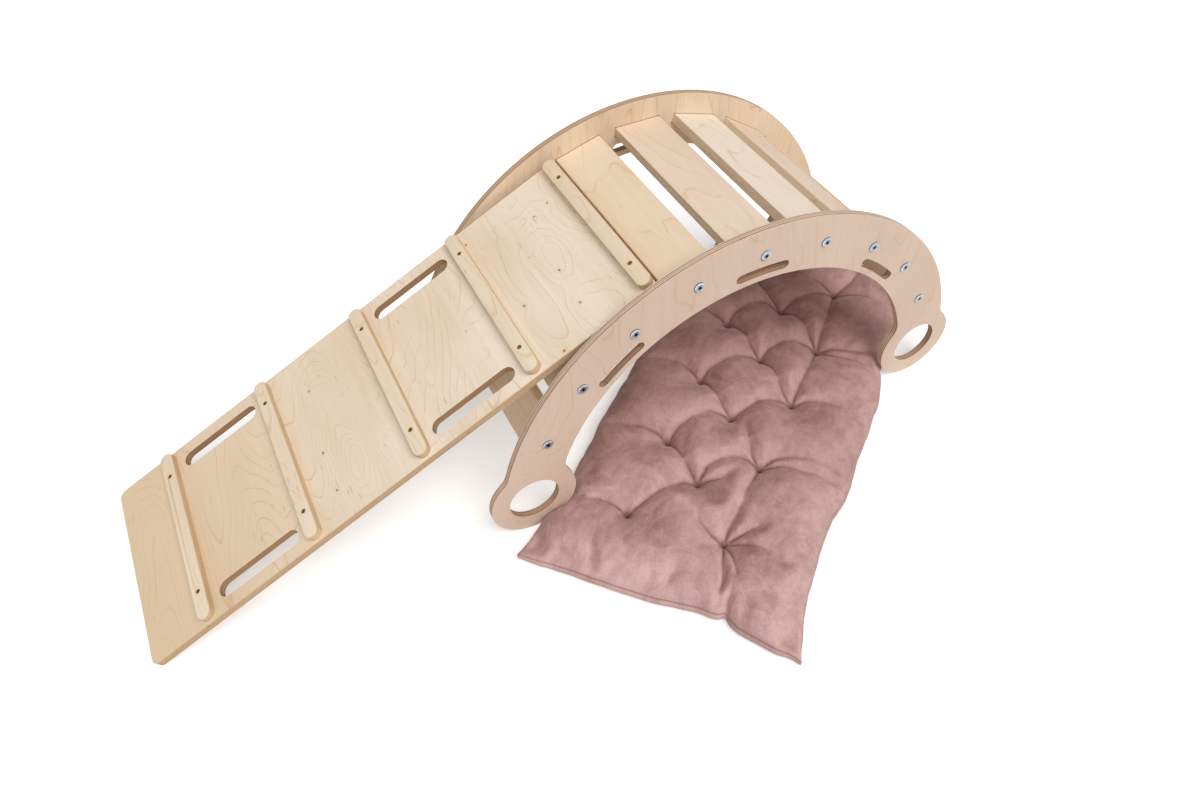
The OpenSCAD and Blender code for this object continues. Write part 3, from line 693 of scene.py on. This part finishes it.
# %% The cushion's height
TUFTS = np.array([(127, 80), (146, -83), (234, 0), (294, 82), (311, -83), (394, 2), (456, 86), (472, -84),
                  (556, 6), (619, 97), (629, -83), (700, 15), (797, -65), (780, 94)], float)
SEAM_HEIGHT, CROWN = 19.0, 60.0
FOLDS = [
    [(127, 80), (132, 106), (130, 130), (126, 158), (117, 179)],
    [(127, 80), (147, 68), (174, 53), (199, 38), (221, 22), (235, 1)],
    [(146, -83), (171, -81), (201, -83), (249, -82), (312, -82)],
    [(146, -83), (150, -59), (159, -38), (170, -24)],
    [(146, -83), (164, -98), (182, -113), (192, -123)],
    [(146, -83), (155, -110), (158, -136), (157, -161), (149, -180)],
    [(146, -83), (130, -102), (114, -114), (97, -124)],
    [(146, -83), (104, -96), (75, -107), (53, -111), (38, -120)],
    [(235, 1), (248, 18), (268, 42), (288, 66), (295, 82)],
    [(235, 1), (269, -3), (291, -18), (308, -37), (316, -60), (312, -82)],
    [(235, 1), (246, -13), (256, -33)],
    [(295, 82), (302, 104), (303, 131), (297, 160), (292, 185), (280, 203)],
    [(295, 82), (331, 75), (358, 60), (386, 40), (394, 16), (395, 3)],
    [(312, -82), (334, -97), (350, -125), (362, -160), (366, -192), (360, -222)],
    [(312, -82), (326, -115), (334, -150), (340, -181), (340, -205), (344, -225)],
    [(312, -82), (327, -63), (360, -42), (391, -26)],
    [(395, 3), (410, 23), (432, 48), (452, 72), (457, 87)],
    [(395, 3), (412, -8), (436, -24), (456, -43), (469, -65), (473, -84)],
    [(457, 87), (468, 112), (473, 142), (474, 171), (463, 208)],
    [(457, 87), (484, 82), (513, 64), (538, 46), (553, 23), (557, 7)],
    [(473, -84), (489, -105), (498, -137), (501, -166), (492, -208)],
    [(473, -84), (485, -65), (507, -46), (539, -22), (557, 7)],
    [(473, -84), (507, -83), (550, -84), (631, -83)],
    [(557, 7), (576, 33), (604, 60), (619, 82), (621, 98)],
    [(557, 7), (585, 0), (608, -16), (626, -38), (632, -64), (631, -83)],
    [(631, -83), (646, -108), (652, -137), (663, -166)],
    [(631, -83), (632, -112), (634, -148), (630, -180), (616, -202)],
    [(631, -83), (651, -63), (676, -43), (699, -14), (702, 15)],
    [(631, -83), (679, -76), (729, -71), (799, -64)],
    [(621, 98), (628, 115), (634, 150), (630, 205)],
    [(621, 98), (650, 94), (681, 78), (704, 51), (702, 15)],
    [(702, 15), (731, 3), (760, -21), (785, -43), (799, -64)],
    [(702, 15), (722, 44), (752, 74), (780, 94)],
    [(799, -64), (823, -77), (849, -86), (870, -88)],
    [(799, -64), (812, -30), (812, 20), (800, 62), (780, 94)],
    [(799, -64), (806, -110), (804, -160), (800, -200)],
    [(780, 94), (792, 130), (790, 170), (796, 210)],
]


def off_path(points, path):
    """Each point's distance from a path of straight stretches, and how far along it the nearest place is."""
    path = np.array(path, float)
    best, gone, passed = np.full(points.shape[:-1], np.inf), np.zeros(points.shape[:-1]), 0.0
    for start, end in zip(path[:-1], path[1:]):
        way = end - start
        size = np.linalg.norm(way)
        share = np.clip(((points - start) @ way) / size ** 2, 0, 1)
        gap = np.linalg.norm(points - start - share[..., None] * way, axis=-1)
        gone = np.where(gap < best, passed + share * size, gone)
        best = np.minimum(gap, best)
        passed += size
    return best, gone, passed


def to_tuft(points):
    """The distance to the nearest tuft."""
    return np.min([np.linalg.norm(points - tuft, axis=-1) for tuft in TUFTS], axis=0)


def near_corner(t, s):
    """0 on both middle lines and 1 in the corners."""
    return abs(2 * s - 1) * abs(2 * t - 1)


def pillow(t, s):
    """A share of the crown: 0 on the seam, a steep rise, and 1 over the middle."""
    return ((1 - abs(2 * s - 1) ** 3.4) * (1 - abs(2 * t - 1) ** 9)) ** 0.52


def cushion_heights(points, t, s):
    """The heights of the top and of the seam. The top is a pillow times the crown, which loses a dent
    21 * exp(-d / 33) at the nearest tuft and a valley 5 * exp(-(gap / 14)^2) along each fold. The seam drops
    by 6 at the corners."""
    valley = np.max([5 * np.exp(-(off_path(points, path)[0] / 14) ** 2) for path in FOLDS], axis=0)
    seam = SEAM_HEIGHT - 6 * near_corner(t, s) ** 6
    return seam + pillow(t, s) * (CROWN - SEAM_HEIGHT - 21 * np.exp(-to_tuft(points) / 33) - valley), seam


height, seam_height = cushion_heights(plan, share_t, share_s)
print("cushion heights from", height.min().round(1), "to", height.max().round(1), "mm")

# %% [markdown]
# The case is one closed skin: a grid for the top and a grid for the underside, which share the points of
# the seam. The underside lies flat on the floor, and rises to the seam only close to it.

# %% The case before it is stuffed
GROUND_GAP = 0.0006                                 # between the floor and the cushion, in metres


def to_scene(xy, z):
    """Places on the cushion's own plan, in mm, as points of the scene in metres."""
    cos, sin = math.cos(CUSHION_TURN), math.sin(CUSHION_TURN)
    return np.stack([(xy[..., 0] * cos - xy[..., 1] * sin) / 1000 + CUSHION_PLACE.x,
                     (xy[..., 0] * sin + xy[..., 1] * cos) / 1000 + CUSHION_PLACE.y, z / 1000], -1)


def case_skin(plan, height, seam_height, t, s):
    """A top grid and an underside grid that share the seam. The underside drops steeply from the seam."""
    lift = 1 - ((1 - abs(2 * s - 1) ** 16) * (1 - abs(2 * t - 1) ** 34)) ** 0.6
    floor = GROUND_GAP * 1000
    under = floor + (seam_height - floor) * lift
    rows, columns = t.shape
    number = np.arange(rows * columns).reshape(rows, columns)
    below, inner = number.copy(), np.s_[1:-1, 1:-1]
    below[inner] = rows * columns + np.arange((rows - 2) * (columns - 2)).reshape(rows - 2, columns - 2)
    points = [to_scene(plan, height).reshape(-1, 3), to_scene(plan, under)[inner].reshape(-1, 3)]
    return np.concatenate(points), np.concatenate([quads(number), quads(below, turned=True)]), number


points, faces, top_number = case_skin(plan, height, seam_height, share_t, share_s)
print("case:", len(points), "points,", len(faces), "faces")

# %% [markdown]
# Folds that are only a formula look ironed. Real ones come from cloth that is longer than the way it has
# to go, so the case is now blown up as cloth: it is made a little larger than its shape, the stuffing is
# an even pressure, and the sewn tufts, the seam and the underside are held. How far a point may move is
# capped, which keeps the cushion the size that it was drawn.

# %% Stuffing the case
def stuff(points, faces, held, frames=20, pressure=2.2, slack=0.035, most=0.008):
    """Runs Blender's cloth on a mesh of its own with the held points pinned, and gives the points it
    ends with, none of them further than most from where it began."""
    case = stand("case", skin("case", points, faces.tolist()))
    case.vertex_groups.new(name="held").add(held.tolist(), 1.0, "REPLACE")
    cloth = case.modifiers.new("stuffing", "CLOTH")
    cloth.settings.quality = 6
    cloth.settings.mass = 0.2
    cloth.settings.tension_stiffness = cloth.settings.compression_stiffness = 18
    cloth.settings.shear_stiffness = 6
    cloth.settings.bending_stiffness = 0.6
    cloth.settings.shrink_min = -slack
    cloth.settings.use_pressure = True
    cloth.settings.uniform_pressure_force = pressure
    cloth.settings.effector_weights.gravity = 0
    cloth.settings.vertex_group_mass = "held"
    cloth.collision_settings.use_collision = False
    for number in range(1, frames + 1):
        scene.frame_set(number)
    blown = case.evaluated_get(bpy.context.evaluated_depsgraph_get()).to_mesh()
    moved = np.empty(len(blown.vertices) * 3)
    blown.vertices.foreach_get("co", moved)
    bpy.data.objects.remove(case)
    scene.frame_set(1)
    way = moved.reshape(-1, 3) - points
    length = np.linalg.norm(way, axis=1, keepdims=True)
    print("cloth moved by", (length.mean() * 1000).round(1), "mm, at most", (length.max() * 1000).round(1))
    return points + way * np.minimum(1, most / np.maximum(length, 1e-9))


def soften(shift, rounds):
    """Each value becomes the mean of its four neighbours and, twice, itself, as often as rounds says."""
    for _ in range(rounds):
        wide = np.pad(shift, ((1, 1), (1, 1), (0, 0)), mode="edge")
        beside = wide[2:, 1:-1] + wide[:-2, 1:-1] + wide[1:-1, 2:] + wide[1:-1, :-2]
        shift = (wide[1:-1, 1:-1] * 2 + beside) / 6
    return shift


on_seam = np.ones_like(share_t, dtype=bool)
on_seam[1:-1, 1:-1] = False
sewn = top_number[(to_tuft(plan) < 4.5) | on_seam]
held = np.concatenate([sewn, np.arange(top_number.size, len(points))])
before = points[:top_number.size].reshape(*share_t.shape, 3)
blown = stuff(points, faces, held)[:top_number.size].reshape(*share_t.shape, 3)
blown = before + soften(blown - before, 2)
stuffed = blown[..., 2] * 1000
print("stuffed top from", stuffed.min().round(1), "to", stuffed.max().round(1), "mm")

# %% [markdown]
# Cloth as coarse as this can't hold a sharp crease, so the sewing comes after it. The top is made twice as
# fine, and then every fold gets a narrow crease, deepest near its tuft, each tuft a pointed dent with short
# pleats like a star's, and the seam small puckers. How deep all this goes is also kept for the finish,
# which paints shade into the folds by it.

# %% Creases, tufts and seam
def finer(grid, axis):
    """A new row between every two, halfway on the Catmull-Rom curve: (9 * (b + c) - (a + d)) / 16."""
    rows = np.moveaxis(grid, axis, 0)
    ends = np.concatenate([2 * rows[:1] - rows[1:2], rows, 2 * rows[-1:] - rows[-2:-1]])
    middle = (9 * (ends[1:-2] + ends[2:-1]) - (ends[:-3] + ends[3:])) / 16
    both = np.empty((2 * len(rows) - 1, *rows.shape[1:]))
    both[::2], both[1::2] = rows, middle
    return np.moveaxis(both, 0, axis)


top, fine_plan = finer(finer(blown, 0), 1), finer(finer(plan, 0), 1)
fine_t, fine_s = shares(*top.shape[:2])
chance = np.random.default_rng(7)


def creases(points):
    """The deepest of three, in mm: a point 10 * exp(-d / 7) at each tuft; folds 8 * exp(-gap / width), which
    start over 5 mm, fade in 60 and widen on the way; and six pleats 3.4 * exp(-gap / 2.2) round each tuft,
    which fade in 16 to 34."""
    depth = 10 * np.exp(-to_tuft(points) / 7)
    for path in FOLDS:
        gap, gone, length = off_path(points, path)
        fade = np.exp(-gone / 60)
        if to_tuft(np.array(path[-1], float)) < 7:
            fade = np.maximum(fade, np.exp(-(length - gone) / 60))
        width = 2.2 + 0.05 * np.minimum(gone, length - gone)
        depth = np.maximum(depth, 8 * fade * (1 - np.exp(-gone / 5)) * np.exp(-gap / width))
    for tuft in TUFTS:
        for turn, reach in zip(chance.uniform(0, 2 * np.pi, 6), chance.uniform(16, 34, 6)):
            way = np.array([np.cos(turn), np.sin(turn)])
            gap, gone, length = off_path(points, [tuft, tuft + reach * way, tuft + 1.9 * reach * way])
            fade = np.exp(-gone / reach) * (1 - np.exp(-gone / 4)) * np.clip(2 - 2 * gone / length, 0, 1)
            depth = np.maximum(depth, 3.4 * fade * np.exp(-gap / 2.2))
    return depth


def from_edges(t, s):
    """The distances from the near, far, right and left edge, in mm."""
    return CUSHION_LENGTH * t, CUSHION_LENGTH * (1 - t), CUSHION_WIDTH * s, CUSHION_WIDTH * (1 - s)


def puckers(t, s):
    """Ripples square to the seam: six sines of the way along each edge, that die away in 13 mm."""
    ripple = np.zeros_like(t)
    near, far, right, left = from_edges(t, s)
    for gap, along in ((near, right), (far, right), (right, near), (left, near)):
        wave = np.sum([np.sin(along / size + phase) for size, phase in
                       zip(chance.uniform(2.6, 11, 6), chance.uniform(0, 6.3, 6))], axis=0)
        ripple += 0.25 * wave * np.exp(-gap / 13)
    return ripple


crease = creases(fine_plan) * np.clip(pillow(fine_t, fine_s) * 1.6, 0, 1)
top[..., 2] -= (crease + puckers(fine_t, fine_s) * np.clip(pillow(fine_t, fine_s) * 2, 0, 1)) / 1000
print("creases up to", crease.max().round(1), "mm deep, on", top.shape[0], "x", top.shape[1], "points")

# %% [markdown]
# Along the seam the two sides of the case are sewn together, so the seam draws in and the cloth next to it
# bulges out. Three of the arch's feet press into the cushion, and it has to make room for them. The
# underside is then closed by rings of points from the seam inwards and one flat face.

# %% The seam and the underside
def draw_seam(top, t, s):
    """Pulls the seam in by 1.4 mm and pushes the cloth 3 mm away from it out by 2.2, square to each edge."""
    along, across = np.gradient(top[..., :2], axis=0), np.gradient(top[..., :2], axis=1)
    along /= np.linalg.norm(along, axis=-1, keepdims=True)
    across /= np.linalg.norm(across, axis=-1, keepdims=True)
    off_corner = 1 - near_corner(t, s) ** 8
    for gap, way in zip(from_edges(t, s), (-along, along, -across, across)):
        push = 2.2 * np.exp(-((gap - 3.2) / 2.4) ** 2) - 1.4 * np.exp(-(gap / 1.2) ** 2)
        top[..., :2] += (push * off_corner / 1000)[..., None] * way


def clear_of_feet(points, least=GROUND_GAP):
    """A foot is an upright disc. A point in it or nearer than least goes straight away from the disc's
    middle until it is clear."""
    for side in (-1, 1):
        for end in (-1, 1):
            centre = np.array([BASE.x + end * FOOT_ASIDE, BASE.y + side * PANEL_ASIDE, FOOT_UP])
            away = points - centre
            out = np.hypot(away[..., 0], away[..., 2])
            inside = (abs(away[..., 1]) < PANEL_PLY / 2 + least) & (out < FOOT_RADIUS + least)
            grow = np.where(inside, (FOOT_RADIUS + least) / np.maximum(out, 1e-6), 1.0)
            points[..., 0] = centre[0] + away[..., 0] * grow
            raised = np.maximum(centre[2] + away[..., 2] * grow, GROUND_GAP)
            points[..., 2] = np.where(inside, raised, points[..., 2])
    return points


draw_seam(top, fine_t, fine_s)
pushed = clear_of_feet(top.copy(), 2 * GROUND_GAP) - top
for rounds in (24, 12, 4):
    top = top + soften(pushed, rounds)
    pushed = clear_of_feet(top.copy(), 2 * GROUND_GAP) - top
top = clear_of_feet(top)

number = np.arange(fine_t.size).reshape(fine_t.shape)
seam_loop = np.concatenate([number[0], number[1:, -1], number[-1, -2::-1], number[-2:0:-1, 0]])
loop_t, loop_s = fine_t.ravel()[seam_loop], fine_s.ravel()[seam_loop]
seam = top.reshape(-1, 3)[seam_loop]
inset = to_scene(cushion_plan(0.016 + 0.968 * loop_t, 0.032 + 0.936 * loop_s), 0 * loop_t)
off_corner = (1 - near_corner(loop_t, loop_s) ** 8)[:, None]
rings = []                                          # the first three bulge outwards, under the seam
for inwards, height_share in ((-0.16, 0.84), (-0.26, 0.58), (-0.18, 0.30), (0.25, 0.08), (1.0, 0.0)):
    ring = seam + (inset - seam) * (inwards * off_corner if inwards < 0 else inwards)
    ring[:, 2] = GROUND_GAP + (seam[:, 2] - GROUND_GAP) * height_share
    rings.append(clear_of_feet(ring))
ring_number = number.size + np.arange(len(rings) * len(seam_loop)).reshape(len(rings), -1)
faces = np.concatenate([quads(number), quads(np.vstack([seam_loop, ring_number]), closed=True, turned=True)])
points = np.concatenate([top.reshape(-1, 3), *rings])
mesh = skin("velvet_cushion", points, faces.tolist() + [ring_number[-1].tolist()])
mesh.shade_smooth()
depth = np.zeros(len(points))
depth[:number.size] = crease.ravel()
# The seam gets a depth of 4, so the velvet paints shade along it too.
depth[seam_loop] = 4
mesh.attributes.new("fold", "FLOAT", "POINT").data.foreach_set("value", depth.astype(np.float32))
cushion = stand("velvet_cushion", mesh)
triangles = sum(len(face.vertices) - 2 for face in mesh.polygons)
print("cushion:", len(points), "points and", triangles, "triangles")

# %% [markdown]
# Velvet is a pile of short fibres. Stroked one way it is light and the other way dark, so it is never one
# colour: it carries soft patches with quite sharp borders where hands have brushed it. Its fibres catch
# the light at a grazing angle, which is what the shader's sheen is for.

# %% The cushion's velvet
def velvet():
    """Brushed patches from a twisted noise, a fine speckle, painted light on slopes that face the lamps,
    and painted shade towards the back and down in the folds.
    """
    f = Finish("pink_velvet")
    here = f.node("TexCoord", out="Object")
    lie = f.node("Mapping", {}, {"Vector": here, "Rotation": (0, 0, -CUSHION_TURN)})
    patches = f.noise(f.stretch(lie, (9, 10, 9)), detail=5.0, roughness=0.68, distortion=1.2)
    brushed = f.noise(f.stretch(lie, (38, 48, 40)), detail=4.0, roughness=0.65, distortion=0.6)
    patches, brushed = patches.step(0.42, 0.58), brushed.step(0.38, 0.62)
    speckle = f.noise(here, scale=420, detail=3.0).step(0.34, 0.66)
    normal_parts = f.split(f.node("TexCoord", out="Normal"))
    # Painted light: slopes that face the near side and the right, where the lamps stand, are made lighter.
    painted_lit_slope = (normal_parts[0] * 0.35 - normal_parts[1] * 0.94).step(-0.45, 0.55)
    tone = patches * 0.28 + brushed * 0.24 + speckle * 0.20 + painted_lit_slope * 0.54 - 0.08
    colour = f.mix(tone, linear("9a736f"), linear("ceaaa6"))
    # Painted shade: the velvet grows darker towards the back end, under the arch.
    start = CUSHION_PLACE.x * math.cos(CUSHION_TURN) + CUSHION_PLACE.y * math.sin(CUSHION_TURN)
    colour = f.mix((f.split(lie)[0] - start).step(0.05, 0.45), colour, linear("ebe6e4"), "MULTIPLY")
    # Painted shade: darker down in the folds and along the seam, near black at the bottom of each tuft.
    fold = f.node("Attribute", {"attribute_name": "fold"}, out="Fac")
    colour = f.mix(fold.step(0.8, 5.0) * 0.72, colour, linear("6e4541"))
    colour = f.mix(fold.step(7.6, 9.4) * 0.85, colour, linear("2c1a18"))
    pile = f.noise(here, scale=1500, detail=1.0) * 0.5 + brushed * 0.5
    return f.surface({"Roughness": 0.95, "Specular IOR Level": 0.1, "Sheen Weight": 0.35,
                      "Sheen Roughness": 0.45, "Sheen Tint": linear("f0d8d2")},
                     {"Base Color": colour, "Normal": f.bump(pile, 0.3, 0.0008)})


mesh.materials.append(velvet())
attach(cushion, "arch")
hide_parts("cushion")
print("cushion on its body")

# %% [markdown]
# What holds each tuft down is a few turns of strong thread, which show as a small dark cross at its bottom.

# %% The tufts' threads
def stitch(tuft, turn, reach=4.4, steps=9):
    """A path across a tuft, 0.5 mm above the velvet, whose height is the mean of the points near it."""
    along = np.linspace(-reach, reach, steps)[:, None]
    place = tuft + along * np.array([np.cos(turn), np.sin(turn)])
    gap = np.linalg.norm(place[:, None] - fine_plan.reshape(1, -1, 2), axis=2)
    near = np.exp(-(gap / 1.3) ** 2)
    middle = near @ top.reshape(-1, 3) / near.sum(axis=1, keepdims=True)
    return middle + (0, 0, 0.0005)


def thread_skin(paths, radius, sides=8):
    """A round tube along each path: the path + radius * (cos(turn) * level + sin(turn) * up)."""
    way = np.gradient(paths, axis=1)
    level = np.cross(way, (0, 0, 1))
    level /= np.linalg.norm(level, axis=-1, keepdims=True)
    up = np.cross(level, way)
    up /= np.linalg.norm(up, axis=-1, keepdims=True)
    turn = np.linspace(0, 2 * np.pi, sides, endpoint=False)[:, None]
    points = paths[:, :, None] + radius * (np.cos(turn) * level[:, :, None] + np.sin(turn) * up[:, :, None])
    number = np.arange(points[..., 0].size).reshape(points.shape[:3])
    ends = number[:, 0].tolist() + number[:, -1].tolist()
    return points, quads(number, closed=True, turned=True).tolist() + ends


def waxed_thread():
    """Dark, with the twist of its strands as fine stripes."""
    f = Finish("waxed_thread")
    here = f.node("TexCoord", out="Object")
    strands = f.noise(f.stretch(here, (900, 900, 1600)), detail=1.0)
    colour = f.mix(strands, linear("3c2422"), linear("6a4642"))
    return f.surface({"Specular IOR Level": 0.3, "Roughness": 0.6},
                     {"Base Color": colour, "Normal": f.bump(strands, 0.3, 0.0003)})


turns = chance.uniform(0, np.pi, len(TUFTS))
paths = np.array([stitch(tuft, turn + quarter) for tuft, turn in zip(TUFTS, turns)
                  for quarter in (0, np.pi / 2)])
threads = closed_piece("tuft_threads", *thread_skin(paths, 0.0007))
threads.data.materials.append(waxed_thread())
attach(threads, "arch")
print("stitches:", len(paths), "faces:", len(threads.data.polygons))

# %% [markdown]
# ## The studio
# The object stands on a white floor under soft light. A wide sun gives shape and a soft shadow, and a second
# sun and the white world fill it in; together they light a level surface at about the strength at which a
# colour renders as it is written. The world is brighter, and the floor adds a little white of its own, where
# the camera sees them straight, in a reflection or through glass, so the background comes out white and the
# object gets no more light from it. The Standard view shows colours as they are, where the default one would
# soften and grey them.

# %% Floor, world and lights
def seen(f):
    """1 for what the camera sees, straight, reflected or through glass, and 0 for light on its way."""
    camera_ray = f.node("LightPath")
    outputs = camera_ray.socket.node.outputs
    glossy, clear = Wire(f, outputs["Is Glossy Ray"]), Wire(f, outputs["Is Transmission Ray"])
    return camera_ray.larger(glossy).larger(clear)


def floor_sheet(radius, rings=6, steps=48):
    """A flat disc from two parameters: radius * ring / rings outwards, and a full turn in equal steps."""
    turn = np.linspace(0, 2 * np.pi, steps, endpoint=False)
    out = radius * np.arange(1, rings + 1)[:, None] / rings
    points = np.stack([out * np.cos(turn), out * np.sin(turn), np.zeros((rings, steps))], -1).reshape(-1, 3)
    number = 1 + np.arange(rings * steps).reshape(rings, steps)
    middle = np.stack([0 * number[0], number[0], np.roll(number[0], -1)], -1)
    faces = middle.tolist() + quads(number, closed=True).tolist()
    return skin("floor", np.vstack([[0, 0, 0], points]), faces)


scene.view_settings.view_transform = "Standard"
floor = stand("floor", floor_sheet(9.0))
floor.location.z = -0.0005
f = Finish("white_floor")
sheet = f.node("BsdfDiffuse", {}, {"Color": (0.78, 0.78, 0.78, 1)})
glow = f.node("Emission", {}, {"Color": (1, 1, 1, 1), "Strength": seen(f) * 0.40})
floor.data.materials.append(f.end(f.node("AddShader", {}, {0: sheet, 1: glow})))

WORLD_LIGHT = 0.32
f = Finish("studio", bpy.data.worlds.new("studio"))
strength = WORLD_LIGHT + seen(f) * (1 - WORLD_LIGHT)
scene.world = f.end(f.node("Background", {}, {"Color": (1, 1, 1, 1), "Strength": strength}), "World")


def sun(name, strength, angle, way):
    """A sun with a wide disc, whose light travels along way."""
    lamp = bpy.data.lights.new(name, "SUN")
    lamp.energy, lamp.angle = strength, math.radians(angle)
    stand(name, lamp).rotation_euler = Vector(way).to_track_quat("-Z", "Y").to_euler()


sun("key", 1.90, 40, (-0.15, 0.52, -0.84))
sun("fill", 0.76, 60, (0.42, 0.58, -0.70))
print("floor and lights ready")
